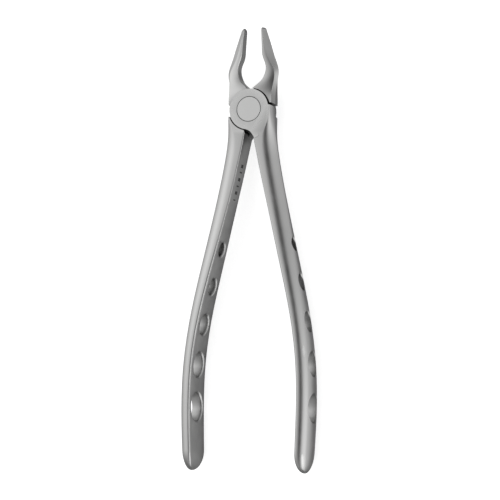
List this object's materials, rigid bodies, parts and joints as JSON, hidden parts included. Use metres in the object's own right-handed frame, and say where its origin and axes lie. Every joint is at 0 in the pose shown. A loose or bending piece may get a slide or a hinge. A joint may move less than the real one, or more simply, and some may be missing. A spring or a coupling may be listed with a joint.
{
  "type": "dental extraction forceps",
  "caption": "Open steel extraction forceps with narrow beaks, a flush lap joint and long bowed handles lightened by growing round holes.",
  "frame": {"origin": "centre of the pivot pin's rear end, level with the rear face of the joint", "axes": "+Y towards the beaks along the length, +Z out of the front face along the pin, +X across to the front half's handle"},
  "size_m": [0.053, 0.1736, 0.0158],
  "materials": {
    "forged_steel": "satin, fine blasted stainless steel",
    "pin_steel": "satin stainless steel, ground flush"
  },
  "bodies": {
    "rear": {"rear_half": "forged_steel", "pivot_pin": "pin_steel"},
    "front": {"front_half": "forged_steel"}
  },
  "joints": [
    {"name": "jaw_hinge", "type": "hinge", "parent": "rear", "child": "front", "pos_m": [0, 0, 0], "axis": [0, 0, 1], "range_deg": [-11.5, 4]}
  ]
}
